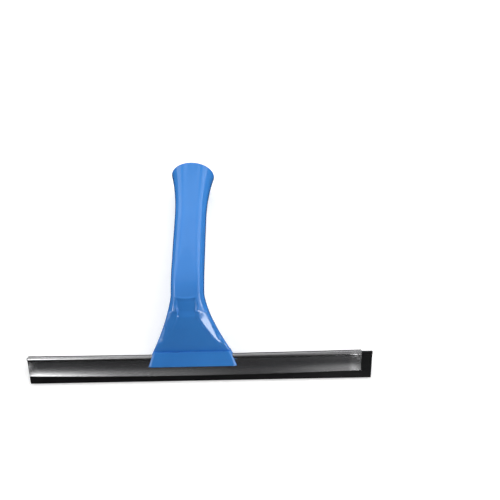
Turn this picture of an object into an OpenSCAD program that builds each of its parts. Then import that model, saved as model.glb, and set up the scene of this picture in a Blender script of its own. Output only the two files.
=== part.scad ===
// Window squeegee: a moulded handle whose jaws hold an aluminium channel with a rubber blade.
// It lies on a level surface on the blade's edge and the lower side of the handle's flared end.
// X runs along the blade, +Y from the blade to the handle's end, +Z up, all in millimetres.

/* [Channel] */
// Length of the aluminium channel
channel_len = 350; // [200:5:500]
// Height of the channel, from the lips to the top of the bead
channel_h = 22; // [19:0.5:28]
// Diameter of the round bead along its top
bead_d = 6.4; // [5.8:0.1:8]
// Thickness across the waist under the bead
waist_t = 4.4; // [4:0.1:5]
// Width across the flared lips
lip_w = 8.4; // [7.6:0.1:11]
// Height of the waist above the lips
waist_h = 14.5; // [12:0.5:15]
// Wall of the extrusion
wall_t = 1.1; // [0.9:0.05:1.3]
// How far the channel's middle lies beside the handle's
channel_shift = 1; // [-6:0.5:6]

/* [Rubber] */
// How far the rubber stands out below the lips
rubber_out = 6.8; // [4:0.2:12]
// How far the rubber passes the channel's +X end
rubber_over = 10; // [0:1:20]
// Thickness at the wiping edge
edge_t = 2.2; // [1.6:0.1:3]
// Thickness of the body between the lips
body_t = 3; // [2.4:0.1:4]
// Clearance between the rubber and the channel
rubber_gap = 0.25; // [0.15:0.05:0.4]

/* [Jaws] */
// Width of the front jaw at its foot
jaw_w = 92; // [80:1:110]
// Width of the front jaw at the crease above it
crease_w = 80; // [70:1:90]
// How far the jaws reach down over the channel, from its top
jaw_reach = 12.4; // [9:0.2:13]
// How far the jaws rise above the channel's top
jaw_rise = 3.4; // [2.5:0.1:5]
// Plastic in front of and behind the bead
jaw_t = 2.2; // [1.8:0.1:3.5]
// Clearance between the jaws and the channel
seat_gap = 0.15; // [0.1:0.05:0.3]

/* [Head] */
// Length of the head along its curve, from the channel to the neck
head_len = 69; // [60:1:85]
// Angle between the blade and the head
head_rise = 17.5; // [8:0.5:22]
// Straight stretch of the head before it bends over
head_straight = 37; // [30:1:45]
// Radius of the bend at the neck
neck_r = 60; // [50:1:90]
// Angle of that bend
neck_bend = 52.5; // [40:0.5:60]
// Width of the head where it meets the jaws
head_w = 85; // [76:0.5:100]
// How hollow the head's sides are in outline (1 is straight)
side_hollow = 1.35; // [1:0.05:1.8]
// Width of the sloping flange outside each ridge, at the jaws
flange_w = 7.5; // [4:0.5:9]
// How much wider the flange is at the neck
flange_gain = 5.5; // [2:0.5:8]
// Depth of the sunk panel between the ridges
panel_depth = 1.5; // [0.8:0.1:2]
// Slope of the broad flat outside each ridge, below the band
swell_slope = 0.5; // [0.4:0.05:0.7]

/* [Pocket] */
// Where the cored pocket in the back of the head starts, along the head
pocket_from = 7; // [6:0.5:12]
// Where it ends
pocket_to = 40; // [24:1:42]
// Plastic left between the pocket and the sunk panel
pocket_skin = 2.6; // [2.2:0.1:4]
// Plastic left beside the pocket
pocket_side = 7; // [6:0.5:10]
// Thickness of the ribs in the pocket
rib_t = 2; // [1.6:0.1:3]
// Number of cells between the ribs
cells = 4; // [3:1:5]

/* [Thumb rest] */
// Where the ledge lies, along the head's curve
ledge_at = 67; // [60:0.5:70]
// Width of the sunk band under the ledge
band_w = 16.4; // [12:0.2:20]
// Length of that band
band_len = 15.5; // [12:0.5:22]
// Width of the flat rest
rest_w = 21; // [16:0.5:24]
// Length of the flat rest, from the ledge to its pointed end
rest_len = 41; // [30:1:60]

/* [Grip] */
// Width of the grip
grip_w = 33.2; // [30:0.2:38]
// Thickness of the grip
grip_t = 30; // [26:0.5:34]
// Length of the grip, from the neck bend to the flared end
grip_len = 119; // [95:1:150]
// How much the grip droops along its length
grip_droop = 4.5; // [2:0.5:10]
// Outside diameter of the flared end
flare_d = 47.4; // [42:0.2:52]
// Length of the flare
flare_len = 61; // [40:1:75]
// Radius on the lip of the flared end
lip_r = 1.2; // [0.8:0.1:1.4]

/* [Socket] */
// Diameter of the socket for a pole
socket_d = 22; // [18:0.5:24]
// Length of the round socket
socket_len = 60; // [40:1:80]
// Depth of the funnel in front of the socket
mouth_len = 22; // [15:1:28]

/* [Screws] */
// Distance between the two screws behind the jaws
screw_span = 56; // [40:1:70]
// Diameter of the screws
screw_d = 2.9; // [2.5:0.1:3.5]
// Diameter of their heads
screw_head_d = 5.6; // [5:0.1:6.5]

/* [Hidden] */
$fn = 64;

// --- the blade's own frame: x along it, v up its height from the wiping edge, n out of its front ---

lips_v = rubber_out;
top_v = lips_v + channel_h;
bead_r = bead_d / 2;
bead_v = top_v - bead_r;
waist_v = lips_v + waist_h;
lip_spread = (lip_w - waist_t) / 2;
hollow_r = (waist_h * waist_h + lip_spread * lip_spread) / (2 * lip_spread);
web_t = waist_t - 2 * wall_t - 2 * rubber_gap;
rubber_from = channel_shift - channel_len / 2;
rubber_to = channel_shift + channel_len / 2 + rubber_over;

// Extrudes an outline, drawn as [v, n], along x between two places
module along_x(x0, x1) {
    translate([x0, 0, 0]) rotate([90, 0, 90]) linear_extrude(x1 - x0) children();
}

// Extrudes an outline, drawn as [x, v], from one n to another
module along_n(n0, n1) {
    translate([0, 0, n0]) linear_extrude(n1 - n0) children();
}

// Outline of the channel, every face moved out by grow; open_by lengthens it past the lips
module channel_outline(grow = 0, open_by = 0) {
    translate([bead_v, 0]) circle(bead_r + grow);
    difference() {
        translate([lips_v - open_by, -lip_w / 2 - grow]) square([bead_v - lips_v + open_by, lip_w + 2 * grow]);
        for (side = [-1, 1]) translate([waist_v, side * (waist_t / 2 + hollow_r)]) circle(hollow_r - grow, $fn = 128);
    }
}

module channel() {
    color("silver") along_x(channel_shift - channel_len / 2, channel_shift + channel_len / 2) difference() {
        channel_outline();
        channel_outline(-wall_t, 1);
    }
}

// Outline of the rubber below its bulb: the wiping edge, a body between the lips and a thin web in the waist
module blade_outline() {
    half = [[0, edge_t / 2], [lips_v, body_t / 2], [lips_v + waist_h * 0.3, body_t / 2],
            [waist_v - waist_h * 0.25, web_t / 2], [bead_v, web_t / 2]];
    polygon(concat(half, [for (i = [len(half) - 1:-1:0]) [half[i][0], -half[i][1]]]));
}

// The rubber hangs by a round bulb in the channel's bead
module rubber() {
    color("#1a1a1c") {
        along_x(rubber_from, rubber_to) translate([bead_v, 0]) circle(bead_r - wall_t - rubber_gap);
        along_x(rubber_from, rubber_to) blade_outline();
    }
}

// --- the handle's spine: straight up the head, over the neck, and down the drooping grip ---

bend_len = neck_r * neck_bend * PI / 180;
grip_from = head_straight + bend_len;
handle_len = grip_from + grip_len;
droop_r = grip_len / (grip_droop * PI / 180);
grip_turn = head_rise - neck_bend;

// Direction of the spine at a distance along it, in degrees from the blade's own direction
function turn(s) =
    s <= head_straight ? head_rise
    : s <= grip_from ? head_rise - (s - head_straight) / neck_r * 180 / PI
    : grip_turn - (s - grip_from) / droop_r * 180 / PI;

// Point on a circular bend of radius r that starts at p in direction a and has turned down to b
function bent(p, r, a, b) = p + r * [sin(a) - sin(b), cos(b) - cos(a)];

head_end = [top_v, 0] + head_straight * [cos(head_rise), sin(head_rise)];
neck_end = bent(head_end, neck_r, head_rise, grip_turn);

// Point on the spine at a distance along it, as [v, n]
function spine(s) =
    s <= head_straight ? [top_v, 0] + s * [cos(head_rise), sin(head_rise)]
    : s <= grip_from ? bent(head_end, neck_r, head_rise, turn(s))
    : bent(neck_end, droop_r, grip_turn, turn(s));

// Direction across the spine, towards the front
function across(s) = [-sin(turn(s)), cos(turn(s))];

// --- how the blade frame lies on the level surface ---

flare_r = flare_d / 2;
rim_low = spine(handle_len - lip_r) - (flare_r - lip_r) * across(handle_len - lip_r);
rim_high = spine(handle_len - lip_r) + (flare_r - lip_r) * across(handle_len - lip_r);
edge_back = [0, -edge_t / 2];
edge_front = [0, edge_t / 2];
lip_back = [lips_v, -lip_w / 2];

// Tilt of the blade when the part lies on the point p, [v, n], and on the handle's rounded rim
function lying_on(p) = asin(lip_r / norm(rim_low - p)) - atan2(rim_low[1] - p[1], rim_low[0] - p[0]);
lie = min(lying_on(edge_back), lying_on(lip_back));
// Height and depth of the point p once the blade is tilted so
function tilted_z(p) = p[0] * sin(lie) + p[1] * cos(lie);
function tilted_y(p) = p[0] * cos(lie) - p[1] * sin(lie);
lift = -min(tilted_z(edge_back), tilted_z(lip_back));
near_y = tilted_y(edge_front);
far_y = tilted_y(rim_high) + lip_r;
middle_x = channel_shift + rubber_over / 2;
middle_y = (near_y + far_y) / 2;

// Lays what is drawn in the blade's frame on the surface, over the middle of its own footprint
module at_rest() {
    translate([-middle_x, -middle_y, lift]) rotate([lie, 0, 0]) children();
}

// --- the handle's cross-sections ---

jaw_face = bead_r + seat_gap + jaw_t;
jaw_foot_v = top_v - jaw_reach;
crease_v = top_v + jaw_rise;
front_t0 = jaw_face - jaw_rise * tan(head_rise);
back_t0 = jaw_face + jaw_rise * tan(head_rise) / 2;
flare_from = handle_len - flare_len;
ridge_wall = 3;
band_from = ledge_at - band_len;
lip_wide = 2.2;

function clamp01(x) = min(1, max(0, x));
function ease(x) = clamp01(x) * clamp01(x) * (3 - 2 * clamp01(x));
function mix(a, b, k) = a + (b - a) * k;
// How far along the head (0 at the jaws, 1 at the neck) and how far into the flare (0 to 1)
function on_head(s) = clamp01(s / head_len);
function in_flare(s) = pow(clamp01((s - flare_from) / flare_len), 2.3);
// How much the lip of the flared end is rounded in, at a distance along the spine
function lip_round(s) = let (d = max(0, s - handle_len + lip_r)) lip_r - sqrt(max(0, lip_r * lip_r - d * d));

function half_w(s) =
    mix(mix(grip_w, head_w, pow(1 - on_head(s), side_hollow)) / 2, flare_r, in_flare(s)) - lip_round(s);
function front_t(s) = mix(mix(front_t0, grip_t / 2, on_head(s)), flare_r, in_flare(s)) - lip_round(s);
function back_t(s) = mix(mix(back_t0, grip_t / 2, ease(on_head(s))), flare_r, in_flare(s)) - lip_round(s);

// Fullness of the section's outline: 2 is an ellipse, more is boxier, and a low rise gives thin sloping edges
function fullness(s) = mix(mix(3.2, 2.5, ease(on_head(s))), 2, in_flare(s));
function front_rise(s) = mix(mix(1.25, 2.2, pow(on_head(s), 2)), 2, in_flare(s));
function back_rise(s) = mix(mix(1.7, 2.2, on_head(s)), 2, in_flare(s));

// Height of the unbroken front above the spine
function front_h(x, s) = front_t(s) * pow(1 - pow(min(1, abs(x) / half_w(s)), fullness(s)), 1 / front_rise(s));

// Outside each ridge the front swells into a broad flat slope, which ends under the band
swell_from = 8;
swell_grow = 24;
swell_end = 2.6;
side_fullness = 7;
function crest(s) = panel_half(s) + ridge_wall;
function swollen(s) =
    ease((s - swell_from) / swell_grow) * (1 - ease((s - band_from - swell_end / 2) / swell_end));
function swell_h(x, s) =
    min(front_h(crest(s), s) - swell_slope * max(0, abs(x) - crest(s)),
        front_t(s) * sqrt(1 - pow(min(1, abs(x) / half_w(s)), side_fullness)));
function shoulder_h(x, s) = mix(front_h(x, s), swell_h(x, s), swollen(s));

// Half-width of the flat that runs up the front: the sunk panel, the band, then the thumb rest
function panel_half(s) = max(band_w / 2, half_w(s) - mix(flange_w, flange_w + flange_gain, s / band_from));
function rest_half(s) = rest_w / 2 * pow(1 - pow(clamp01((s - ledge_at) / rest_len), 2.4), 0.6) + 0.6;
function flat_half(s) = mix(panel_half(s), rest_half(s), ease((s - ledge_at + lip_wide) / lip_wide));
// Height of the sunk panel: a straight slope up to the band, which is sunk a little deeper
panel_low = front_h(panel_half(0), 0) - panel_depth * 0.95;
panel_high = front_h(panel_half(band_from), band_from) - panel_depth * 1.15;
band_start = 6;
band_sink = 1.25;
edge_drop = 0.35;
function slope(s) = mix(panel_low, panel_high, s / band_from);
function panel_level(s) =
    min(slope(s) - band_sink * ease((s - band_from + band_start / 2) / band_start),
        front_h(panel_half(s) + ridge_wall * 0.6, s) - edge_drop);
// Height of the flat: the panel below the ledge, the thumb rest above it
function flat_level(s) = mix(panel_level(s), front_h(rest_half(s), s), ease((s - ledge_at + lip_wide) / lip_wide));

// --- the skin: one ring of points at each station along the spine ---

side_n = 7;
flat_n = 4;
back_n = 14;

// Right half of the front, from the side in to the middle, as [x, height above the spine]
function front_half(s) =
    let (w = half_w(s), f = fullness(s), in = flat_half(s),
         out = min(in + ridge_wall, w * 0.97), a = acos(pow(out / w, f / 2)),
         edge = [for (k = [0:side_n]) w * pow(cos(a * k / side_n), 2 / f)])
    concat([for (x = edge) [x, shoulder_h(x, s)]],
           [for (k = [0:flat_n]) [in * (1 - k / flat_n), flat_level(s)]]);
function mirrored(half) = [for (i = [len(half) - 2:-1:0]) [-half[i][0], half[i][1]]];
function back_row(s) =
    [for (k = [1:back_n - 1]) let (a = 180 * k / back_n, c = cos(a))
        [-sign(c) * half_w(s) * pow(abs(c), 2 / fullness(s)), -back_t(s) * pow(sin(a), 2 / back_rise(s))]];
function ring(s) = let (half = front_half(s)) concat(half, mirrored(half), back_row(s));

// The ledge under the thumb rest curves down in its middle, like a smile
smile = 1.6;
function smile_at(x, s) =
    smile * (1 - pow(min(1, abs(x) / flat_half(s)), 2)) * ease(1 - abs(s - ledge_at + 1) / 9);

function placed(p, s) =
    let (t = p[1] > 0 ? s - smile_at(p[0], s) : s, q = spine(t) + p[1] * across(t)) [p[0], q[0], q[1]];

lip_steps = 4;
stations = concat(
    [for (k = [0:10]) band_from * k / 11],
    [for (k = [0:3]) band_from + (band_len - 4) * k / 3],
    [for (k = [0:6]) ledge_at - 3 + k * 0.7],
    [for (k = [1:14]) ledge_at + 1.2 + (flare_from - ledge_at - 1.2) * k / 14],
    [for (k = [1:12]) flare_from + (flare_len - lip_r) * k / 12],
    [for (k = [1:lip_steps]) handle_len - lip_r + lip_r * sin(90 * k / lip_steps)]);

module skin() {
    rings = [for (s = stations) [for (p = ring(s)) placed(p, s)]];
    m = len(rings[0]);
    last = len(rings) - 1;
    sides = [for (i = [0:last - 1]) for (j = [0:m - 1]) let (a = i * m + j, b = i * m + (j + 1) % m)
        each [[a, b, a + m], [b, b + m, a + m]]];
    ends = [[for (j = [m - 1:-1:0]) j], [for (j = [0:m - 1]) last * m + j]];
    polyhedron([for (r = rings) each r], concat(sides, ends), convexity = 6);
}

// --- jaws, pocket, socket and screws ---

notch_w = crease_w - 1.2;
rear_w = jaw_w - 2.2;
bevel = 1;

// Outline of the front jaw, as [x, v]: its ends run in a little, then slant out to the foot
module front_jaw_outline() {
    half = [[crease_w / 2, crease_v], [notch_w / 2, top_v - 1.5], [jaw_w / 2, jaw_foot_v + 2.2],
            [jaw_w / 2 - bevel, jaw_foot_v]];
    polygon(concat(half, [for (i = [len(half) - 1:-1:0]) [-half[i][0], half[i][1]]]));
}

module rear_jaw_outline() {
    half = [[crease_w / 2, crease_v - 1], [rear_w / 2, top_v - 2.6], [rear_w / 2, jaw_foot_v]];
    polygon(concat(half, [for (i = [len(half) - 1:-1:0]) [-half[i][0], half[i][1]]]));
}

module jaws() {
    intersection() {
        along_n(0, jaw_face) front_jaw_outline();
        along_x(-jaw_w / 2, jaw_w / 2)
            polygon([[crease_v + 1, 0], [crease_v + 1, jaw_face - 1.2], [crease_v, jaw_face],
                     [jaw_foot_v + 2.5, jaw_face - 0.15], [jaw_foot_v, jaw_face - 1.5], [jaw_foot_v, 0]]);
    }
    intersection() {
        along_n(-jaw_face, 0.5) rear_jaw_outline();
        along_x(-jaw_w / 2, jaw_w / 2)
            polygon([[crease_v + 1, 0.5], [crease_v + 1, -jaw_face], [jaw_foot_v + 1, -jaw_face],
                     [jaw_foot_v, 1 - jaw_face], [jaw_foot_v, 0.5]]);
    }
}

pocket_deep = 30;

// Side of the pocket at a distance along the head; it narrows in a straight line
function pocket_half(s) =
    mix(half_w(pocket_from), half_w(pocket_to), (s - pocket_from) / (pocket_to - pocket_from)) - pocket_side;

// Outline of one cell of the pocket, as [x, distance along the head]; the ribs fan out towards the jaws
module cell_outline(k) {
    left = 2 * k / cells - 1;
    right = left + 2 / cells;
    rib_left = k == 0 ? 0 : rib_t / 2;
    rib_right = k == cells - 1 ? 0 : rib_t / 2;
    polygon([for (s = [pocket_from, pocket_to]) [left * pocket_half(s) + rib_left, s],
             for (s = [pocket_to, pocket_from]) [right * pocket_half(s) - rib_right, s]]);
}

// The pocket cored out of the back of the head, up to pocket_skin behind the sunk panel
module pocket() {
    translate([0, top_v, 0]) rotate([head_rise, 0, 0]) for (k = [0:cells - 1]) intersection() {
        along_n(-pocket_deep, pocket_deep) cell_outline(k);
        along_x(-jaw_w, jaw_w)
            polygon([[pocket_from - 1, -pocket_deep], [pocket_from - 1, slope(pocket_from - 1) - pocket_skin],
                     [pocket_to + 1, slope(pocket_to + 1) - pocket_skin], [pocket_to + 1, -pocket_deep]]);
    }
}

socket_deep = mouth_len + socket_len;
socket_foot = spine(handle_len - socket_deep);
socket_turn = atan2(spine(handle_len)[1] - socket_foot[1], spine(handle_len)[0] - socket_foot[0]);
mouth_r = flare_r - 2 * lip_r;
mouth_rise = mouth_r - socket_d / 2;
mouth_curve = (mouth_len * mouth_len + mouth_rise * mouth_rise) / (2 * mouth_rise);

// Places what is drawn along +Z on the socket's axis, pointing out of the mouth, with zero at the lip
module on_socket() {
    translate([0, spine(handle_len)[0], spine(handle_len)[1]]) rotate([socket_turn - 90, 0, 0]) children();
}

module socket() {
    on_socket() {
        translate([0, 0, -socket_deep]) cylinder(h = socket_len + 0.01, d = socket_d);
        rotate_extrude() difference() {
            translate([0, -mouth_len]) square([mouth_r + 0.6, mouth_len + 1]);
            translate([socket_d / 2 + mouth_curve, -mouth_len]) circle(mouth_curve, $fn = 128);
        }
    }
}

screw_v = waist_v - 0.5;
screw_reach = waist_t / 2 + seat_gap;

// Places children behind the jaws at each screw, along the screw's own axis
module at_screws() {
    for (side = [-1, 1]) translate([side * screw_span / 2, screw_v, 0]) rotate([180, 0, 0]) children();
}

module handle() {
    color("#3f83d2") at_rest() difference() {
        union() {
            skin();
            jaws();
        }
        along_x(-jaw_w, jaw_w) channel_outline(seat_gap, 1);
        pocket();
        at_screws() cylinder(h = jaw_face + 1, d = screw_d + 0.1);
        socket();
    }
}

module jaw_screws() {
    color("lightgrey") at_rest() at_screws() {
        translate([0, 0, screw_reach]) cylinder(h = jaw_face - screw_reach + 0.5, d = screw_d);
        translate([0, 0, jaw_face]) cylinder(h = 1.2, d = screw_head_d);
    }
}

handle();
at_rest() channel();
at_rest() rubber();
jaw_screws();
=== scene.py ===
# %% [markdown]
# # A window squeegee, cell by cell
# A moulded handle holds an aluminium channel in its jaws, and the channel holds a rubber blade. The
# imported model is loaded first and never moved: it says where each part lies, and every piece made here
# goes into its place. The box of the whole model is kept before anything is added.

# %% The frame
import math

import bmesh
import bpy
import numpy as np
from mathutils import Matrix, Vector


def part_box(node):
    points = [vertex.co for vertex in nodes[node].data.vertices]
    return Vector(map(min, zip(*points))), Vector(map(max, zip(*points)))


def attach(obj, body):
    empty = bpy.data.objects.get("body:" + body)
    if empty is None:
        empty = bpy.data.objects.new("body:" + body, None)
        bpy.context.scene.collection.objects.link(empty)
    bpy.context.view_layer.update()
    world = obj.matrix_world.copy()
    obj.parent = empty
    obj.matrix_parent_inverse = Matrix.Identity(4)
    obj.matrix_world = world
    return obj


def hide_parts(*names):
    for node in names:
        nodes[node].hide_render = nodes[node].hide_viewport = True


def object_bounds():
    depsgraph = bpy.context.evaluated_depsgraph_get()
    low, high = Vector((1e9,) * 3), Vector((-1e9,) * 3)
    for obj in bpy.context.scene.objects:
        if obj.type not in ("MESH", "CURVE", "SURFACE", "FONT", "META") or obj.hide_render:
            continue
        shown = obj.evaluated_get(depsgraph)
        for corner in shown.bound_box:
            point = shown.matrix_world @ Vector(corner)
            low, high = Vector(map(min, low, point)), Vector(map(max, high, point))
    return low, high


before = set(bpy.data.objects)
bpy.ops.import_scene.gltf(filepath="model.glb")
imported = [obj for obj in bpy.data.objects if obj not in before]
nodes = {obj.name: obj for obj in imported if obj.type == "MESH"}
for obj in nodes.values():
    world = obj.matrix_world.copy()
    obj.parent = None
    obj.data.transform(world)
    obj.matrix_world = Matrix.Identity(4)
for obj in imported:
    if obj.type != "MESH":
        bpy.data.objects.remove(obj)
cad_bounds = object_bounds()
mm = 0.001


def in_mm(box):
    """The corners of a box in millimetres, rounded for reading."""
    return [[round(c / mm, 2) for c in corner] for corner in box]


print("CAD nodes:", sorted(nodes))
print("CAD box, mm:", in_mm(cad_bounds))

# %% [markdown]
# ## Helpers for modelling by hand
# An operator acts on whatever is selected, so each step first selects one object, and then the points,
# edges or faces that it needs, by their place. These few helpers do that selecting, and nothing else.

# %% Selecting
def only(obj):
    """Makes obj the one selected and active object."""
    if bpy.context.object and bpy.context.object.mode != "OBJECT":
        bpy.ops.object.mode_set(mode="OBJECT")
    bpy.ops.object.select_all(action="DESELECT")
    obj.select_set(True)
    bpy.context.view_layer.objects.active = obj


def pick(obj, kind, rule):
    """Enters edit mode with only those verts, edges or faces selected that meet a rule."""
    only(obj)
    bpy.ops.object.mode_set(mode="EDIT")
    bpy.ops.mesh.select_mode(type={"verts": "VERT", "edges": "EDGE", "faces": "FACE"}[kind])
    bpy.ops.mesh.select_all(action="DESELECT")
    mesh = bmesh.from_edit_mesh(obj.data)
    chosen = [part for part in getattr(mesh, kind) if rule(part)]
    for part in chosen:
        part.select_set(True)
    bmesh.update_edit_mesh(obj.data)
    return len(chosen)


def named(name):
    """Names the object that an operator has just added, and returns it."""
    obj = bpy.context.object
    obj.name = obj.data.name = name
    return obj


def modify(obj, kind, **settings):
    """Adds one modifier, sets it and applies it."""
    only(obj)
    modifier = obj.modifiers.new(kind.title(), kind)
    for key, value in settings.items():
        setattr(modifier, key, value)
    bpy.ops.object.modifier_apply(modifier=modifier.name)


def carve(obj, tool, operation):
    """Joins a tool to obj, or cuts it out, and deletes the tool."""
    modify(obj, "BOOLEAN", object=tool, operation=operation, solver="EXACT")
    bpy.data.objects.remove(tool)


def seal(obj, gap=0.002 * mm):
    """Merges doubles and turns every face outwards."""
    pick(obj, "verts", lambda vert: True)
    bpy.ops.mesh.remove_doubles(threshold=gap)
    bpy.ops.mesh.normals_make_consistent(inside=False)
    bpy.ops.object.mode_set(mode="OBJECT")


# %% [markdown]
# ## The sizes
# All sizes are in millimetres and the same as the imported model's. The pieces are shaped in the blade's
# own frame: x along the blade, v up its height from the wiping edge, n out of its front. In that frame
# the channel's section and the jaws stand square. One turn about X then lays the piece down as the part
# lies on a table.

# %% Sizes of the blade
channel_len, channel_h, channel_shift = 350, 22, 1
bead_r, waist_t, lip_w, waist_h, wall_t = 3.2, 4.4, 8.4, 14.5, 1.1
rubber_out, rubber_over, edge_t, body_t, rubber_gap = 6.8, 10, 2.2, 3, 0.25
seat_gap = 0.15
lips_v = rubber_out
top_v = lips_v + channel_h
bead_v = top_v - bead_r
waist_v = lips_v + waist_h
lip_spread = (lip_w - waist_t) / 2
hollow_r = (waist_h**2 + lip_spread**2) / (2 * lip_spread)

# %% Sizes of the handle
jaw_w, crease_w, jaw_reach, jaw_rise, jaw_t = 92, 80, 12.4, 3.4, 2.2
head_len, head_rise, head_straight, neck_r, neck_bend = 69, 17.5, 37, 60, 52.5
head_w, side_hollow, flange_w, flange_gain = 85, 1.35, 7.5, 5.5
ledge_at, band_w, band_len, rest_w, rest_len = 67.2, 16.4, 15.2, 22.6, 42
grip_w, grip_t, grip_len, grip_droop = 33.2, 30, 119, 4.5
flare_d, flare_len, flare_hollow, lip_r = 47.4, 61, 2.3, 1.2
socket_d, socket_len, mouth_len = 22, 60, 22
screw_span, screw_d, screw_head_d = 56, 2.9, 5.6
jaw_face = bead_r + seat_gap + jaw_t
jaw_foot_v = top_v - jaw_reach
crease_v = top_v + jaw_rise
bend_len = neck_r * math.radians(neck_bend)
grip_from = head_straight + bend_len
handle_len = grip_from + grip_len
flare_from = handle_len - flare_len
flare_r = flare_d / 2
print("handle along its curve, mm:", round(handle_len, 1))

# %% [markdown]
# ## The spine of the handle
# The handle is one bent body, so its shape is easiest to say along a line: straight up the head, over the
# neck on an arc, and down the drooping grip. A point on the line is given by its distance s from the
# channel's top.

# %% Spine
def turn(s):
    """Direction of the spine in radians, from the blade's own direction."""
    s = np.asarray(s, float)
    over = np.clip(s - head_straight, 0, bend_len) / neck_r
    down = np.clip(s - grip_from, 0, None) / grip_len * math.radians(grip_droop)
    return math.radians(head_rise) - over - down


STEPS = np.linspace(0, handle_len + 1, 4001)
step_turn = turn((STEPS[1:] + STEPS[:-1]) / 2)
step = STEPS[1] - STEPS[0]
spine_v = top_v + np.concatenate([[0], np.cumsum(np.cos(step_turn) * step)])
spine_n = np.concatenate([[0], np.cumsum(np.sin(step_turn) * step)])


def spine(s, height=0.0):
    """(v, n) of the point at a height above the spine."""
    a = turn(s)
    v, n = np.interp(s, STEPS, spine_v), np.interp(s, STEPS, spine_n)
    return v - np.sin(a) * height, n + np.cos(a) * height


# %% [markdown]
# ## How the part lies
# The blade's edge and the lowest point of the flared end both touch the table, which sets the blade's
# tilt. It is worked out here as in the model, and printed with the imported model's box of the handle.

# %% Tilt of the blade
rim = handle_len - lip_r
rim_low = np.array(spine(rim, -(flare_r - lip_r)))
rim_high = np.array(spine(rim, flare_r - lip_r))


def lying_on(p):
    """Tilt in radians at which the point p, (v, n), and the rounded rim are level."""
    way = rim_low - p
    return math.asin(lip_r / np.hypot(*way)) - math.atan2(way[1], way[0])


def tilted(p, angle):
    """(y, z) of the point p once the blade is tilted."""
    c, s = math.cos(angle), math.sin(angle)
    return np.array([p[0] * c - p[1] * s, p[0] * s + p[1] * c])


feet = [np.array([0, -edge_t / 2]), np.array([lips_v, -lip_w / 2])]
lie = min(lying_on(p) for p in feet)
lift = -min(tilted(p, lie)[1] for p in feet)
near_y = tilted([0, edge_t / 2], lie)[0]
far_y = tilted(rim_high, lie)[0] + lip_r
middle = Vector((channel_shift + rubber_over / 2, (near_y + far_y) / 2, -lift))
to_rest = Matrix.Translation(-middle * mm) @ Matrix.Rotation(lie, 4, "X")
print("tilt, degrees:", round(math.degrees(lie), 2))
print("handle box in the model, mm:", in_mm(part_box("handle")))


def lay_down(obj):
    """Turns a piece from the blade's frame into its place at rest, and leaves its object at the origin."""
    only(obj)
    obj.data.transform(to_rest)
    obj.data.update()


# %% [markdown]
# ## The handle's sections
# Across the spine, the front is a low dome whose fullness changes along the way: thin sloping flanges at
# the head, a full oval at the grip and a circle at the flare. A sunk panel, a deeper band and the flat
# thumb rest are taken out of that dome. They are written as soft steps, because a mould has no sharp
# inner corners.

# %% Soft steps
def ease(x):
    """0 up to 0, 1 from 1, and a soft curve between."""
    x = np.clip(x, 0, 1)
    return x * x * (3 - 2 * x)


def mix(a, b, k):
    return a + (b - a) * k


def soft_max(a, b, blend):
    """The higher of two heights, with the corner between them rounded."""
    return (a + b + np.sqrt((a - b) ** 2 + blend**2)) / 2


# %% Width and thickness
def on_head(s):
    return np.clip(s / head_len, 0, 1)


def in_flare(s):
    return np.clip((s - flare_from) / flare_len, 0, 1) ** flare_hollow


def lip_round(s):
    d = np.clip(s - handle_len + lip_r, 0, lip_r)
    return lip_r - np.sqrt(lip_r**2 - d * d)


def half_w(s):
    head = mix(grip_w, head_w, (1 - on_head(s)) ** side_hollow) / 2
    return mix(head, flare_r, in_flare(s)) - lip_round(s)


front_t0 = jaw_face - jaw_rise * math.tan(math.radians(head_rise))
back_t0 = jaw_face + jaw_rise * math.tan(math.radians(head_rise)) / 2


def front_t(s):
    return mix(mix(front_t0, grip_t / 2, on_head(s)), flare_r, in_flare(s)) - lip_round(s)


def back_t(s):
    return mix(mix(back_t0, grip_t / 2, ease(on_head(s))), flare_r, in_flare(s)) - lip_round(s)


print("half width at the jaws, neck and rim, mm:", [round(float(half_w(s)), 1) for s in (0, head_len, rim)])

# %% The two domes
head_full, grip_full, round_full = 3.2, 2.5, 2
front_edge, back_edge, grip_edge = 1.25, 1.7, 2.2


def dome(x, s, thickness, edge):
    """Height of an unbroken side at x. A fuller dome is flatter on top, and a larger edge is rounder."""
    full = mix(mix(head_full, grip_full, ease(on_head(s))), round_full, in_flare(s))
    across = np.clip(np.abs(x) / half_w(s), 0, 1)
    return thickness * (1 - across**full) ** (1 / mix(edge, round_full, in_flare(s)))


def crown(x, s):
    return dome(x, s, front_t(s), mix(front_edge, grip_edge, on_head(s) ** 2))


def back(x, s):
    return dome(x, s, back_t(s), mix(back_edge, grip_edge, on_head(s)))


print("height of the front at the jaws and neck, mm:", [round(float(crown(0, s)), 1) for s in (0, head_len)])

# %% [markdown]
# ## The panel, the band and the thumb rest
# The front of the head is sunk between two ridges, which saves plastic and keeps it stiff. The floor of
# this panel climbs towards the neck, where a deeper band ends at a ledge under the thumb. The thumb rest
# is a flat taken off the dome, long and pointed like a leaf.

# %% Panel, band and thumb rest
band_from = ledge_at - band_len
panel_low, panel_high, panel_sink, panel_corner = 1.0, 9.9, 0.35, 0.8
band_sink, band_rise, band_slope, band_tuck = 1.4, 0.3, 7, 0.2
wall_low, wall_high, wall_gain, wall_delay, wall_grow, wall_share = 3.4, 1.4, 2.8, 2, 6, 0.6
rest_full, rest_point = 2.4, 0.6
ledge_step, smile_rise, smile_back, smile_len = 3.0, 1.7, 1, 9


def panel_half(s):
    flange = mix(flange_w, flange_w + flange_gain, s / band_from)
    return soft_max(band_w / 2 - band_tuck, half_w(s) - flange, panel_corner)


def rest_half(s):
    along = np.clip((s - ledge_at) / rest_len, 0, 1)
    return rest_w / 2 * (1 - along**rest_full) ** rest_point


def past_ledge(s):
    return ease((s - ledge_at + ledge_step) / ledge_step)


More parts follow.
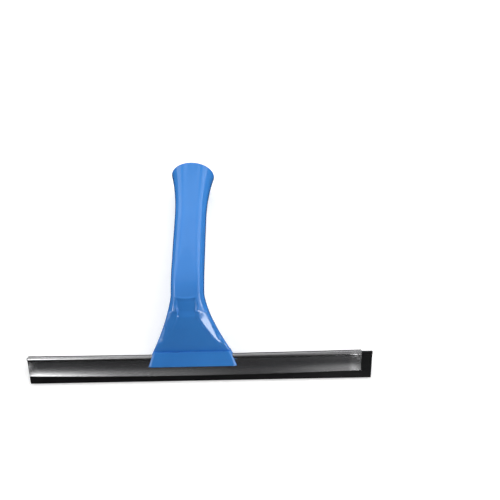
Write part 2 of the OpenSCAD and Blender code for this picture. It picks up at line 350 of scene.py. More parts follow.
def panel_level(s):
    """Height of the sunk panel above the spine, with the deeper band at its upper end."""
    sink = band_sink - band_rise * ease((s - band_from) / band_len)
    deeper = sink * ease((s - band_from + band_slope / 2) / band_slope)
    return mix(panel_low, panel_high, s / band_from) - deeper


def ridge_width(s):
    """Width of the soft wall between the panel and the crest of a ridge."""
    along_panel = mix(wall_low, wall_high, np.clip(s / band_from, 0, 1))
    return along_panel + wall_gain * ease((s - band_from - wall_delay) / wall_grow)


def smile(x, s):
    """How much nearer to the jaws the ledge lies at x than at its ends."""
    middle_of_ledge = np.clip(1 - (np.abs(x) / (rest_w / 2)) ** 2, 0, 1)
    return smile_rise * middle_of_ledge * ease(1 - np.abs(s - ledge_at + smile_back) / smile_len)


# %% [markdown]
# ## The swellings beside the panel
# Outside each ridge the skin swells a little before it falls to the flange. The swelling is low, but it
# carries the long highlight beside the panel. Where it meets the side of the head, a sum of high powers
# takes the lower of the two heights and rounds their corner.

# %% The swellings beside the panel
swell_from, swell_start, swell_to, swell_end = 10, 7, 52.5, 2.6
swell_rise, low_slope, swell_slope, steepen_len = 0.1, 0.12, 0.5, 14
lobe_low, lobe_high, lobe_len = 1.5, 10, 44
outer_slope, outer_from, outer_len = 0.45, 14, 10
crest_round, lobe_round, side_full, side_point, join = 1.6, 0.6, 7, 0.5, 6


def shoulder(x, s):
    """The front before the panel is sunk: a dome, with a broad swelling outside each ridge below the band."""
    ridge = panel_half(s) + ridge_width(s)
    outside = soft_max(np.abs(x) - ridge, 0 * x, crest_round)
    lobe = mix(lobe_low, lobe_high, ease((s - swell_from) / lobe_len))
    fall = mix(low_slope, swell_slope, ease((s - swell_from) / steepen_len)) * outside
    past_lobe = soft_max(outside - lobe, 0 * x, lobe_round)
    beyond = mix(0, outer_slope, ease((s - outer_from) / outer_len)) * past_lobe
    slope = crown(ridge, s) + swell_rise - fall - beyond
    side = front_t(s) * (1 - np.clip(np.abs(x) / half_w(s), 0, 1) ** side_full) ** side_point
    swelling = (np.maximum(slope, 0.4) ** -join + np.maximum(side, 0.01) ** -join) ** (-1 / join)
    swollen = ease(s / swell_start) * (1 - ease((s - swell_to) / swell_end))
    return mix(crown(x, s), swelling, swollen)


# %% The whole front
fade_from, fade_len, rest_fade, rest_sink, rest_round = 5, 6, 8, 0.15, 0.6
brow_h, brow_back, brow_len, brow_over, brow_end = 0.5, 0.2, 1.1, 1, 1.5


def front(x, s):
    """Height of the front at x, with the panel, the band and the thumb rest with its raised brow."""
    base = shoulder(x, s)
    wide, wall = panel_half(s), ridge_width(s)
    floor = np.minimum(panel_level(s), crown(wide + wall * wall_share, s) - panel_sink)
    inside = ease((wide + wall - np.abs(x)) / wall) * (1 - ease((s - ledge_at - fade_from) / fade_len))
    sunk_front = mix(base, floor, inside)
    rest = crown(rest_half(s), s) - rest_sink
    on_rest = past_ledge(s) * ease((ledge_at + rest_len + rest_fade / 2 - s) / rest_fade)
    brow = brow_h * np.exp(-(((s - ledge_at + brow_back) / brow_len) ** 2))
    brow = brow * ease((rest_w / 2 + brow_over - np.abs(x)) / brow_end)
    flat = -soft_max(-base, 0 * base - rest - brow, rest_round)
    return mix(sunk_front, np.minimum(flat, base), on_rest)


heights = {s: round(float(front(np.array([0.0]), s)[0]), 1) for s in (10, 40, 60, 80)}
print("height of the front along its middle, mm:", heights)

# %% [markdown]
# ## The handle's skin
# Blender has no loft, but a grid does the same: its columns go around the handle and its rows along it.
# The grid is added flat, each of its points is laid on the section it belongs to, and the seam is merged.
# The rows do not stop at the rim. They roll over its lip, run down the trumpet of the mouth and along the
# socket, so the outer skin and the hollow are one sheet. Rows stand closer where the shape changes
# faster: at the ledge and the lip.

# %% Laying a grid
FRONT, BACK = 112, 56


def around(columns):
    """For each column: its place across, from -1 to 1, and whether it is on the front."""
    k = np.arange(columns + 1)
    on_front = k <= FRONT
    t = np.where(on_front, 1 - 2 * k / FRONT, -1 + 2 * (k - FRONT) / BACK)
    return np.sin(t * math.pi / 2), on_front


def outer_ring(s, across, on_front):
    x = across * half_w(s)
    height = np.where(on_front, front(x, np.full_like(x, s)), -back(x, np.full_like(x, s)))
    here = np.where(on_front & (height > 0), s - smile(x, s), s)
    v, n = spine(here, height)
    return np.stack([x, v, n], 1)


end = np.array(spine(handle_len))
foot = np.array(spine(handle_len - mouth_len - socket_len))
socket_turn = math.atan2(*(end - foot)[::-1])
mouth_r = flare_r - 2 * lip_r
mouth_rise = mouth_r - socket_d / 2
mouth_curve = (mouth_len**2 + mouth_rise**2) / (2 * mouth_rise)


def inner_ring(depth, radius, across, on_front):
    """A round ring in the hollow, at a depth inside the lip."""
    a = mix(float(turn(handle_len)), socket_turn, min(1, depth / mouth_len))
    centre = end - depth * np.array([math.cos(socket_turn), math.sin(socket_turn)])
    height = np.sqrt(np.clip(1 - across**2, 0, 1)) * np.where(on_front, 1, -1) * radius
    v, n = centre[0] - math.sin(a) * height, centre[1] + math.cos(a) * height
    return np.stack([across * radius, v, n], 1)


# %% Rows of the grid
def rows_along():
    """The distances of the outer rows, closer at the ledge and the lip."""
    marks = [0, band_from - 4, ledge_at - 5, ledge_at + 3, ledge_at + rest_len + 6, rim]
    counts = [46, 30, 34, 60, 60]
    rows = np.concatenate([np.linspace(a, b, n, endpoint=False) for a, b, n in zip(marks, marks[1:], counts)])
    lip = handle_len - lip_r + lip_r * np.sin(np.linspace(0, math.pi / 2, 9))
    return np.concatenate([rows, lip])


def trumpet(d):
    """Radius of the mouth at a depth inside the rim."""
    return socket_d / 2 + mouth_curve - math.sqrt(mouth_curve**2 - (mouth_len - d) ** 2)


def hollow_rows():
    """(depth, radius) of the rows inside: over the inner lip, down the trumpet and along the socket."""
    lip = [(lip_r * (1 - math.cos(a)), flare_r - lip_r - (flare_r - lip_r - trumpet(lip_r)) * math.sin(a))
           for a in np.linspace(0.15, math.pi / 2, 7)]
    mouth = [(d, trumpet(d)) for d in np.linspace(lip_r, mouth_len, 22)[1:]]
    bore = [(d, socket_d / 2) for d in np.linspace(mouth_len, mouth_len + socket_len, 9)[1:]]
    return lip + mouth + bore


# %% The skin of the handle
outer_rows, inner_rows = rows_along(), hollow_rows()
columns = FRONT + BACK
across, on_front = around(columns)
sheet = np.concatenate([outer_ring(s, across, on_front) for s in outer_rows]
                       + [inner_ring(d, r, across, on_front) for d, r in inner_rows])
bpy.ops.object.select_all(action="DESELECT")
steps_along = len(outer_rows) + len(inner_rows) - 1
bpy.ops.mesh.primitive_grid_add(x_subdivisions=columns, y_subdivisions=steps_along, size=1)
handle = named("handle_moulding")
handle.data.vertices.foreach_set("co", (sheet * mm).ravel())
handle.data.update()
seal(handle)
pick(handle, "edges", lambda edge: edge.is_boundary)
bpy.ops.mesh.edge_face_add()
seal(handle)
print("rows outside and inside:", len(outer_rows), "and", len(inner_rows))
print("skin:", len(handle.data.vertices), "points")

# %% [markdown]
# ## The jaws
# Two flat jaws grip the channel: a long one in front, whose slanted ends run out of the flanges of the
# head, and a shorter, narrower one behind. Each is a block that is narrowed towards the head by scaling
# its top face, and softened by a bevel, as on a moulding that has to leave its mould.

# %% A jaw
def jaw(name, face_n, top, foot_w, foot_soft, end_soft):
    """One jaw from the middle of the slot out to face_n, narrowing to its top, with a round foot and ends."""
    size = (foot_w * mm, (top - jaw_foot_v) * mm, abs(face_n) * mm)
    place = (0, (top + jaw_foot_v) / 2 * mm, face_n / 2 * mm)
    bpy.ops.object.select_all(action="DESELECT")
    bpy.ops.mesh.primitive_cube_add(size=1, location=place)
    block = named(name)
    block.scale = size
    bpy.ops.object.transform_apply(location=True, rotation=False, scale=True)
    pick(block, "faces", lambda face: face.normal.y > 0.9)
    bpy.ops.transform.resize(value=(crease_w / foot_w, 1, 1), center_override=(0, top * mm, 0))
    bpy.ops.object.mode_set(mode="OBJECT")

    def at_face(edge):
        return all(vert.co.z * face_n > 0 and abs(vert.co.z) > abs(face_n) * mm / 2 for vert in edge.verts)

    def at_foot(edge):
        return all(vert.co.y < (jaw_foot_v + 0.05) * mm for vert in edge.verts)

    pick(block, "edges", lambda edge: at_face(edge) and edge.verts[0].co.x * edge.verts[1].co.x > 0)
    bpy.ops.mesh.bevel(offset=end_soft * mm, offset_type="OFFSET", segments=6, profile=0.42)
    bpy.ops.object.mode_set(mode="OBJECT")
    pick(block, "edges", lambda edge: at_face(edge) and at_foot(edge))
    bpy.ops.mesh.bevel(offset=foot_soft * mm, offset_type="OFFSET", segments=6, profile=0.5)
    bpy.ops.object.mode_set(mode="OBJECT")
    return block


# %% Both jaws
crease_over, rear_inset = 0.6, 1.1
front_foot, front_end, rear_foot, rear_end = 1.9, 2.8, 0.8, 1.4
front_jaw = jaw("front_jaw", jaw_face, crease_v + crease_over, jaw_w, front_foot, front_end)
rear_jaw = jaw("rear_jaw", -jaw_face, crease_v, jaw_w - 2 * rear_inset, rear_foot, rear_end)
carve(handle, front_jaw, "UNION")
carve(handle, rear_jaw, "UNION")
print("with jaws:", len(handle.data.vertices), "points")

# %% [markdown]
# ## The pocket behind the head
# A part this thick would sink and warp if it were solid, so the back of the head is cored out. Ribs that
# fan out towards the jaws keep it stiff. Each cell starts as a cube whose corners are put in their places
# on the head.

# %% One cell of the pocket
pocket_from, pocket_to, pocket_skin, pocket_side = 7, 40, 2.6, 7
pocket_deep, pocket_corner, pocket_floor, rib_t, cells = 30, 1.2, 0.6, 2, 4
head_tilt = math.radians(head_rise)


def pocket_half(s):
    along = (s - pocket_from) / (pocket_to - pocket_from)
    return mix(half_w(pocket_from), half_w(pocket_to), along) - pocket_side


def pocket_cell(k):
    """One cell between two ribs, from behind the panel out through the back, with rounded corners."""
    left = 2 * k / cells - 1
    left_rib = 0 if k == 0 else rib_t / 2
    right_rib = 0 if k == cells - 1 else -rib_t / 2
    sides = {-1: (left, left_rib), 1: (left + 2 / cells, right_rib)}
    bpy.ops.object.select_all(action="DESELECT")
    bpy.ops.mesh.primitive_cube_add(size=2)
    cell = named("pocket_cell_%d" % k)
    for vert in cell.data.vertices:
        s = pocket_to if vert.co.y > 0 else pocket_from
        share, rib = sides[1 if vert.co.x > 0 else -1]
        height = mix(panel_low, panel_high, s / band_from) - pocket_skin if vert.co.z > 0 else -pocket_deep
        v = top_v + math.cos(head_tilt) * s - math.sin(head_tilt) * height
        n = math.sin(head_tilt) * s + math.cos(head_tilt) * height
        vert.co = (float(share * pocket_half(s) + rib) * mm, v * mm, n * mm)
    pick(cell, "edges", lambda edge: abs(edge.verts[0].co.z - edge.verts[1].co.z) > pocket_deep / 2 * mm)
    bpy.ops.mesh.bevel(offset=pocket_corner * mm, offset_type="OFFSET", segments=5, profile=0.5)
    bpy.ops.object.mode_set(mode="OBJECT")
    pick(cell, "edges", lambda edge: all(vert.co.z > -pocket_deep / 2 * mm for vert in edge.verts))
    bpy.ops.mesh.bevel(offset=pocket_floor * mm, offset_type="OFFSET", segments=3, profile=0.5)
    bpy.ops.object.mode_set(mode="OBJECT")
    return cell


print("pocket: %d cells, %.1f mm wide at the top" % (cells, 2 * pocket_half(pocket_to)))

# %% [markdown]
# ## The channel
# The aluminium is an extrusion: a round bead that the jaws hold, a narrow waist, and two lips that hold
# the blade. One section drawn along the whole length is what an extruder makes, so the waist is a long
# block with two big cylinders cut from its sides, and the bead is a long cylinder joined to its top. The
# hollow is the same shape, one wall smaller.

# %% Long shapes
def long_block(name, v_from, v_to, n_from, n_to, length, centre_x):
    """A block along the blade."""
    bpy.ops.object.select_all(action="DESELECT")
    place = (centre_x * mm, (v_from + v_to) / 2 * mm, (n_from + n_to) / 2 * mm)
    bpy.ops.mesh.primitive_cube_add(size=1, location=place)
    block = named(name)
    block.scale = (length * mm, (v_to - v_from) * mm, (n_to - n_from) * mm)
    bpy.ops.object.transform_apply(location=True, rotation=False, scale=True)
    return block


def long_rod(name, v, n, radius, length, centre_x, sides=96):
    """A round rod along the blade."""
    bpy.ops.object.select_all(action="DESELECT")
    place = (centre_x * mm, v * mm, n * mm)
    bpy.ops.mesh.primitive_cylinder_add(vertices=sides, radius=radius * mm, depth=length * mm,
                                        location=place, rotation=(0, math.pi / 2, 0))
    rod = named(name)
    bpy.ops.object.transform_apply(location=True, rotation=True, scale=True)
    return rod


# %% The section, and what it is cut with
end_trim, cut_over, slot_over, waist_sides = 1.3, 1, 20, 480


def extrusion(name, skin, length, centre_x):
    """The channel's section, smaller by skin all round. What is used as a cutter starts below the lips."""
    foot_v = lips_v - (cut_over if skin else 0)
    half = lip_w / 2 - skin
    body = long_block(name, foot_v, bead_v, -half, half, length, centre_x)
    for side in (1, -1):
        centre = side * (waist_t / 2 + hollow_r)
        cut_len = length + 2 * cut_over
        side_cut = long_rod("side_cut", waist_v, centre, hollow_r + skin, cut_len, centre_x, waist_sides)
        carve(body, side_cut, "DIFFERENCE")
    carve(body, long_rod("bead", bead_v, 0, bead_r - skin, length, centre_x), "UNION")
    seal(body)
    return body


sawn_len = channel_len - 2 * end_trim
channel = extrusion("channel_extrusion", 0, sawn_len, channel_shift)
slot_cut = extrusion("slot_cut", -seat_gap, channel_len + 2 * slot_over, channel_shift)
hollow = extrusion("hollow", wall_t, channel_len + 2 * cut_over, channel_shift)
carve(channel, hollow, "DIFFERENCE")
carve(handle, slot_cut, "DIFFERENCE")
for k in range(cells):
    carve(handle, pocket_cell(k), "DIFFERENCE")
print("channel:", len(channel.data.vertices), "points; handle with its slot:", len(handle.data.vertices))

# %% [markdown]
# ## The lips' edges and the sawn ends
# A die leaves small round edges and a saw leaves sharp ones that are only broken with a file. Both
# matter, because a round edge is what catches a line of light. So the long edges of the lips get a bevel
# of a third of a millimetre, and the two ends a much smaller one.

# %% Edges of the channel
lip_soft, sawn_soft = 0.35, 0.12
ends_x = [channel_shift - sawn_len / 2, channel_shift + sawn_len / 2]


def at_end(part):
    """True where every point lies on a sawn end."""
    return any(all(abs(vert.co.x / mm - x) < 0.01 for vert in part.verts) for x in ends_x)


def at_lips(edge):
    """True for the long outer edges of the two lips."""
    low = all(vert.co.y / mm < lips_v + 0.01 for vert in edge.verts)
    return low and all(abs(vert.co.z / mm) > lip_w / 2 - 0.1 for vert in edge.verts)


def sharp(edge):
    """True where two faces meet at more than one radian."""
    return len(edge.link_faces) == 2 and edge.calc_face_angle() > 1


pick(channel, "edges", lambda edge: at_lips(edge) and not at_end(edge))
bpy.ops.mesh.bevel(offset=lip_soft * mm, offset_type="OFFSET", segments=4, profile=0.5)
pick(channel, "edges", lambda edge: at_end(edge) and sharp(edge))
bpy.ops.mesh.bevel(offset=sawn_soft * mm, offset_type="OFFSET", segments=2, profile=0.5)
seal(channel)
print("channel with its edges:", len(channel.data.vertices), "points")

# %% [markdown]
# ## A sprung blade
# The extrusion is sprung so that it presses evenly on a pane: towards its ends the lips stand a little
# higher than in the middle, and the saw cuts are not quite square. The long faces are cut into stations
# first, which gives the curve its points, and each point then moves by a share of its height.

# %% Spring and saw cuts
spring_lips, spring_bead, saw_slant, saw_zone = 2.4, 0.9, 0.065, 0.1


def stations(obj, count=24):
    """Cuts the long edges of a piece into equal parts."""
    longest = channel_len / 2 * mm
    pick(obj, "edges", lambda edge: abs(edge.verts[0].co.x - edge.verts[1].co.x) > longest)
    bpy.ops.mesh.subdivide(number_cuts=count, ngon=False)
    bpy.ops.object.mode_set(mode="OBJECT")


def spring(obj):
    """Bows a long piece in its own plane and slants its two ends."""
    for vert in obj.data.vertices:
        x, v = vert.co.x / mm - channel_shift, vert.co.y / mm
        out = min(1, abs(x) / (channel_len / 2))
        low = min(1, max(0, (bead_v - v) / (bead_v - lips_v)))
        held = min(1, max(0, v / lips_v))
        vert.co.y += mix(spring_bead, spring_lips, low) * out**2 * held * mm
        near_end = max(0, (out - (1 - saw_zone)) / saw_zone)
        vert.co.x -= math.copysign(saw_slant * (top_v - v) * mm, x) * near_end
    obj.data.update()


stations(channel)
spring(channel)
seal(channel)
print("sprung channel:", len(channel.data.vertices), "points")

# %% [markdown]
# ## The rubber
# The blade is one extruded strip: a thick wiping edge, a web between the lips and a round bulb that
# slides into the channel's bead. It is longer than the channel and stands out at one side only. The strip
# starts as a low block, its foot is narrowed, and its top face is extruded and scaled into the web.

# %% The blade
web_t, body_share, web_share, neck_share, wipe_soft = 1.7, 0.3, 0.45, 0.25, 0.12
rubber_len = channel_len + rubber_over
rubber_x = channel_shift + rubber_over / 2
rubber = long_block("rubber_blade", 0, lips_v, -body_t / 2, body_t / 2, rubber_len, rubber_x)
pick(rubber, "faces", lambda face: face.normal.y < -0.9)
bpy.ops.transform.resize(value=(1, 1, edge_t / body_t))
bpy.ops.object.mode_set(mode="OBJECT")
rises = (waist_h * body_share, waist_h * web_share, bead_v - waist_v + waist_h * neck_share)
for rise, width in zip(rises, (1, web_t / body_t, 1)):
    highest = max(vert.co.y for vert in rubber.data.vertices) - 0.01 * mm
    pick(rubber, "faces", lambda face: face.normal.y > 0.9 and face.calc_center_median().y > highest)
    bpy.ops.mesh.extrude_region_move(TRANSFORM_OT_translate={"value": (0, rise * mm, 0)})
    bpy.ops.transform.resize(value=(1, 1, width), center_override=(0, 0, 0))
    bpy.ops.object.mode_set(mode="OBJECT")
bulb_r = bead_r - wall_t - rubber_gap
carve(rubber, long_rod("bulb", bead_v, 0, bulb_r, rubber_len, rubber_x, 64), "UNION")
pick(rubber, "edges", lambda edge: all(vert.co.y < 0.01 * mm for vert in edge.verts))
bpy.ops.mesh.bevel(offset=wipe_soft * mm, offset_type="OFFSET", segments=2, profile=0.5)
stations(rubber)
spring(rubber)
seal(rubber)
print("rubber:", len(rubber.data.vertices), "points, standing", rubber_over, "mm past the channel")

# %% [markdown]
# ## The screws
# Two small pan-head screws come through the rear jaw and press on the channel, so that it cannot slide
# out. One is modelled and copied: a cylinder with a well rounded rim, and a cross cut into its top by two
# tapered wedges.

# %% One screw
screw_up, screw_head_h, screw_reach, screw_rim = 4.4, 1.2, 2.35, 0.75
cross_len, cross_w, cross_deep, cross_taper = 3.2, 0.75, 1.6, 0.55
screw_bite, screw_clear, hole_over = 0.1, 0.05, 0.6
screw_x, screw_v, rear_n = -screw_span / 2, jaw_foot_v + screw_up, -jaw_face
head_n = rear_n - screw_head_h


def upright_rod(name, radius, n_from, n_to, sides=48):
    """A rod along n, where the first screw sits."""
    bpy.ops.object.select_all(action="DESELECT")
    place = (screw_x * mm, screw_v * mm, (n_from + n_to) / 2 * mm)
    bpy.ops.mesh.primitive_cylinder_add(vertices=sides, radius=radius * mm, depth=abs(n_to - n_from) * mm,
                                        location=place)
    rod = named(name)
    bpy.ops.object.transform_apply(location=True, rotation=True, scale=True)
    return rod


screw = upright_rod("jaw_screw_left", screw_head_d / 2, head_n, rear_n)
pick(screw, "edges", lambda edge: all(vert.co.z < (head_n + 0.01) * mm for vert in edge.verts))
bpy.ops.mesh.bevel(offset=screw_rim * mm, offset_type="OFFSET", segments=6, profile=0.5)
bpy.ops.object.mode_set(mode="OBJECT")
for length, width in ((cross_len, cross_w), (cross_w, cross_len)):
    bpy.ops.object.select_all(action="DESELECT")
    bpy.ops.mesh.primitive_cube_add(size=1, location=Vector((screw_x, screw_v, head_n)) * mm)
    wedge = named("cross")
    wedge.scale = (length * mm, width * mm, cross_deep * mm)
    bpy.ops.object.transform_apply(location=True, rotation=False, scale=True)
    pick(wedge, "faces", lambda face: face.normal.z > 0.9)
    bpy.ops.transform.resize(value=(cross_taper, cross_taper, 1))
    bpy.ops.object.mode_set(mode="OBJECT")
    carve(screw, wedge, "DIFFERENCE")
carve(screw, upright_rod("shank", screw_d / 2, rear_n - screw_bite, rear_n + screw_reach), "UNION")

# %% Both holes, and the other screw
for shift in (0, screw_span):
    hole_end = rear_n + screw_reach + hole_over
    hole = upright_rod("screw_hole", screw_d / 2 + screw_clear, rear_n - screw_bite, hole_end)
    hole.data.transform(Matrix.Translation((shift * mm, 0, 0)))
    carve(handle, hole, "DIFFERENCE")
seal(screw)
only(screw)
bpy.ops.object.duplicate()
other_screw = named("jaw_screw_right")
other_screw.data.transform(Matrix.Translation((screw_span * mm, 0, 0)))
print("screw:", len(screw.data.vertices), "points each")

# %% [markdown]
# ## Laying the pieces down
# Every piece is now turned into its place at rest. The turn goes into the mesh and the object stays at
# the origin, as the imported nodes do, so that patterns on Object coordinates stay where they are when the
# part moves.

# %% Into place
pieces = {"handle": [handle], "channel": [channel], "rubber": [rubber], "jaw_screws": [screw, other_screw]}


def box_of(part):
    """The lowest and the highest corner of a piece."""
    return [[f(vert.co[i] for vert in part.data.vertices) for i in range(3)] for f in (min, max)]


for node, parts in pieces.items():
    for part in parts:
        lay_down(part)
        bpy.ops.object.shade_smooth_by_angle(angle=math.radians(32))
        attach(part, "rubber" if node == "rubber" else "squeegee")
        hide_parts(node)
        print(part.name, "box, mm:", in_mm(box_of(part)), "CAD:", in_mm(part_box(node)))

# %% [markdown]
# ## Writing materials as sums
# A material is a graph of nodes, but it is easier to read as arithmetic. This small class stands for one
# output of a node. Adding or multiplying it makes the Math node and links it, so a pattern is written as
# an expression.

# %% A socket that does maths
class Wire:
    """An output socket of a node, with arithmetic."""

    def __init__(self, graph, socket):
        self.graph = graph
        self.socket = socket

    def maths(self, operation, *values):
        return self.graph.node("Math", {"operation": operation}, *values)

    def __add__(self, other):
        return self.maths("ADD", self, other)

    def __sub__(self, other):
        return self.maths("SUBTRACT", self, other)

    def __rsub__(self, other):
        return self.maths("SUBTRACT", other, self)

    def __mul__(self, other):
        return self.maths("MULTIPLY", self, other)

    __radd__ = __add__
    __rmul__ = __mul__

    def larger(self, other):
        return self.maths("MAXIMUM", self, other)

    def above(self, low, high):
        """0 up to low and 1 from high, and straight between."""
        return self.graph.node("MapRange", {}, self, low, high)


# %% The graph of one material
class Graph:
    """The nodes of one material."""

    def __init__(self, name):
        self.material = bpy.data.materials.new(name)
        self.material.use_nodes = True
        self.tree = self.material.node_tree
        self.shader = self.tree.nodes["Principled BSDF"]
        self.place = self.node("TexCoord", {}, out="Object")

    def node(self, kind, settings, *values, out=0, **named_values):
        """Any node: its settings first, then the values or links of its sockets."""
        made = self.tree.nodes.new("ShaderNode" + kind)
        for key, value in settings.items():
            setattr(made, key, value)
        for key, value in enumerate(values):
            self.feed(made.inputs[key], value)
        for key, value in named_values.items():
            self.feed(made.inputs[key.replace("_", " ")], value)
        return Wire(self, made.outputs[out])

    def feed(self, socket, value):
        """Links or sets one socket."""
        if isinstance(value, Wire):
            self.tree.links.new(value.socket, socket)
        else:
            socket.default_value = value

    def finish(self, **inputs):
        """Sets or links the sockets of the shader itself."""
        for key, value in inputs.items():
            self.feed(self.shader.inputs[key.replace("_", " ")], value)
        return self.material

    def noise(self, scale, detail=2, stretch=(1, 1, 1), rough=0.5):
        """A noise pattern on Object coordinates, stretched along an axis."""
        where = self.node("Mapping", {}, self.place, Scale=stretch)
        return self.node("TexNoise", {}, where, Scale=scale, Detail=detail, Roughness=rough)

    def blend(self, factor, first, second):
        """A colour between two colours."""
        node = self.tree.nodes.new("ShaderNodeMix")
        node.data_type = "RGBA"
        for key, value in ((0, factor), (6, first), (7, second)):
            self.feed(node.inputs[key], value)
        return Wire(self, node.outputs[2])

    def bump(self, height, strength, depth):
        """A Bump node: depth is the height in metres of a full step of the pattern."""
        return self.node("Bump", {}, Strength=strength, Distance=depth, Height=height)


def dress(material, *parts):
    """Gives each piece its one material."""
    for part in parts:
        part.data.materials.clear()
        part.data.materials.append(material)


# %% [markdown]
# ## The blue plastic
# The handle is polypropylene: a pigment in the mass and a gloss that is a little waxy. The polished mould
# gives the gloss, cooling leaves slow waves in it, and hands and window sills leave fine dull scratches.
# The colour is nearly even, only a little deeper in slow clouds where the pigment flowed. Two glosses lie
# over each other, a sharp coat on a softer base, because the skin that touched the mould is smoother than
# the mass under it.

# %% Blue plastic
plastic = Graph("blue_plastic")
clouds = plastic.noise(14, 2)
blue = plastic.blend(clouds.above(0.35, 0.65), (0.043, 0.222, 0.640, 1), (0.049, 0.248, 0.690, 1))
waves = plastic.noise(45, 1)
grain = plastic.noise(2600, 2)
scuffs = plastic.noise(900, 3, (1, 0.06, 1), 0.6).above(0.66, 0.74)
gloss = 0.10 + clouds * 0.05 + scuffs * 0.14
mould_skin = plastic.bump(waves + grain * 0.012 - scuffs * 0.02, 0.5, 0.0004)
dress(plastic.finish(Base_Color=blue, Roughness=gloss, IOR=1.49, Specular_IOR_Level=0.6,
                     Coat_Weight=1.0, Coat_Roughness=0.07, Coat_IOR=1.5, Normal=mould_skin), handle)
print("plastic nodes:", len(plastic.tree.nodes))

# %% [markdown]
# ## Satin aluminium
# Extruded aluminium carries fine lines along its length, drawn by the die, and a thin anodised skin that
# is neither matt nor mirror. The lines spread a reflection across the channel and leave it sharper along
# it. A noise pattern that is stretched a few hundred times along X gives both the lines and small
# differences in gloss.

# %% Satin aluminium
metal = Graph("satin_aluminium")
lines = metal.noise(2400, 3, (0.004, 1, 1), 0.6)
bands = metal.noise(420, 2, (0.003, 1, 1))
stains = metal.noise(30, 3, (0.6, 1, 1))
silver = metal.blend(bands, (0.66, 0.665, 0.68, 1), (0.76, 0.762, 0.765, 1))
satin = 0.18 + bands * 0.07 + stains * 0.04
dress(metal.finish(Base_Color=silver, Metallic=1.0, Roughness=satin,
                   Normal=metal.bump(lines, 0.2, 0.00002)), channel)
print("aluminium nodes:", len(metal.tree.nodes))

# %% [markdown]
# ## Black rubber
# The blade is a soft black rubber, dull with a faint sheen, and slightly grey where talc and dust stay on
# it.

# %% Black rubber
black = Graph("black_rubber")
dust = black.noise(260, 4, (0.15, 1, 1), 0.6)
fine = black.noise(3000, 2)
soot = black.blend(dust.above(0.45, 0.75), (0.0025, 0.0025, 0.003, 1), (0.006, 0.006, 0.0065, 1))
dress(black.finish(Base_Color=soot, Roughness=0.42 + dust * 0.2, Specular_IOR_Level=0.3,
                   Normal=black.bump(fine + dust * 2, 0.3, 0.00003)), rubber)
print("rubber nodes:", len(black.tree.nodes))

# %% [markdown]
# ## Bright steel
# The screws are zinc plated: bright, slightly uneven, and dull in the bottom of the cross.

# %% Screw steel
steel = Graph("screw_steel")
spots = steel.noise(1500, 3)
zinc = steel.blend(spots, (0.52, 0.53, 0.55, 1), (0.68, 0.68, 0.67, 1))
dress(steel.finish(Base_Color=zinc, Metallic=1.0, Roughness=0.26 + spots * 0.15,
                   Normal=steel.bump(spots, 0.2, 0.00002)), screw, other_screw)
print("steel nodes:", len(steel.tree.nodes))

# %% [markdown]
# ## The studio
# A pale sheet lies under the part and curves up on all sides, far away. It starts as a flat disc, and its
# rim is extruded and widened step by step into the curve. The sheet glows a little for the eye and for
# reflections, which keeps it pale without more light on the part.

# %% Floor and wall
def sweep():
    """A round sheet, flat in the middle and curved up at its rim."""
    flat_r, curve_r, steps, steepest, wall_h = 1.6, 0.9, 16, 80, 0.6
    bpy.ops.object.select_all(action="DESELECT")
    bpy.ops.mesh.primitive_circle_add(vertices=128, radius=flat_r, fill_type="NGON")
    paper = named("paper_sweep")
    for k in range(1, steps + 1):
        before, after = [math.radians(steepest * j / steps) for j in (k - 1, k)]
        rise = curve_r * (math.cos(before) - math.cos(after))
        grow = (flat_r + curve_r * math.sin(after)) / (flat_r + curve_r * math.sin(before))
        pick(paper, "edges", lambda edge: edge.is_boundary)
        bpy.ops.mesh.extrude_region_move(TRANSFORM_OT_translate={"value": (0, 0, rise)})
        bpy.ops.transform.resize(value=(grow, grow, 1), center_override=(0, 0, 0))
        bpy.ops.object.mode_set(mode="OBJECT")
    pick(paper, "edges", lambda edge: edge.is_boundary)
    bpy.ops.mesh.extrude_region_move(TRANSFORM_OT_translate={"value": (0, 0, wall_h)})
    bpy.ops.object.mode_set(mode="OBJECT")
    only(paper)
    bpy.ops.object.shade_smooth()
    return paper


paper = sweep()
pulp = Graph("pale_paper")
ray_kinds = ("Is Camera Ray", "Is Glossy Ray", "Is Transmission Ray")
camera_ray, glossy_ray, clear_ray = [pulp.node("LightPath", {}, out=kind) for kind in ray_kinds]
any_ray = camera_ray.larger(glossy_ray.larger(clear_ray))
dress(pulp.finish(Base_Color=(0.84, 0.84, 0.84, 1), Roughness=0.9, Specular_IOR_Level=0.0,
                  Emission_Color=any_ray, Emission_Strength=0.38), paper)
print("sheet:", len(paper.data.polygons), "faces,", [round(c, 2) for c in paper.dimensions], "m")

# %% [markdown]
# ## What the blade mirrors
# A metal looks like metal by what it mirrors, and the channel's hollow side looks up at everything above
# the table. A bright box hangs above its left end and a small one above its right, with dim ones between
# and behind. Only reflections see them, so they change what the channel and the gloss mirror, and nothing
# else.

# %% A soft box
def soft_box(name, place, size, glow, aim, shown=True, lit=True):
    """A rectangular soft box that points at a place. Its glow is what it looks like, whatever its size."""
    lamp = bpy.data.lights.new(name, "AREA")
    lamp.shape = "RECTANGLE"
    lamp.size, lamp.size_y = size
    lamp.energy = glow * math.pi * size[0] * size[1]
    obj = bpy.data.objects.new(name, lamp)
    bpy.context.collection.objects.link(obj)
    obj.location = place
    obj.rotation_euler = (Vector(aim) - Vector(place)).to_track_quat("-Z", "Y").to_euler()
    obj.visible_camera = False
    obj.visible_glossy = shown
    obj.visible_diffuse = lit


# %% Boxes over the blade
high = 1.15


def mirror_box(name, place, size, glow):
    """A box that hangs level, and that only reflections see."""
    soft_box(name, (*place, high), size, glow, (*place, 0), lit=False)


